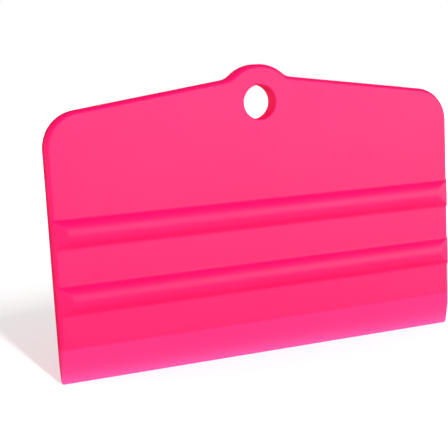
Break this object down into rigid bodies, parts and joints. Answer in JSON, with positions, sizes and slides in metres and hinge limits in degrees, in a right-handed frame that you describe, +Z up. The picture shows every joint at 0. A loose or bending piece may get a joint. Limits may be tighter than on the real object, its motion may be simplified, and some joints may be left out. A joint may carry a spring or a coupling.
{
  "type": "squeegee applicator",
  "caption": "Flexible hand squeegee card with rounded edges, raised grip ribs, a bevelled working edge and a hanging hole in a round tab.",
  "frame": {"origin": "middle of the working edge, at the bottom of the card", "axes": "+X along the working edge, +Y through the thickness from the front to the back, +Z up towards the hanging tab"},
  "size_m": [0.15, 0.0114, 0.1022],
  "materials": {
    "skin": "matt hot pink moulding"
  },
  "bodies": {
    "root": {"squeegee_body": "skin"}
  },
  "joints": []
}
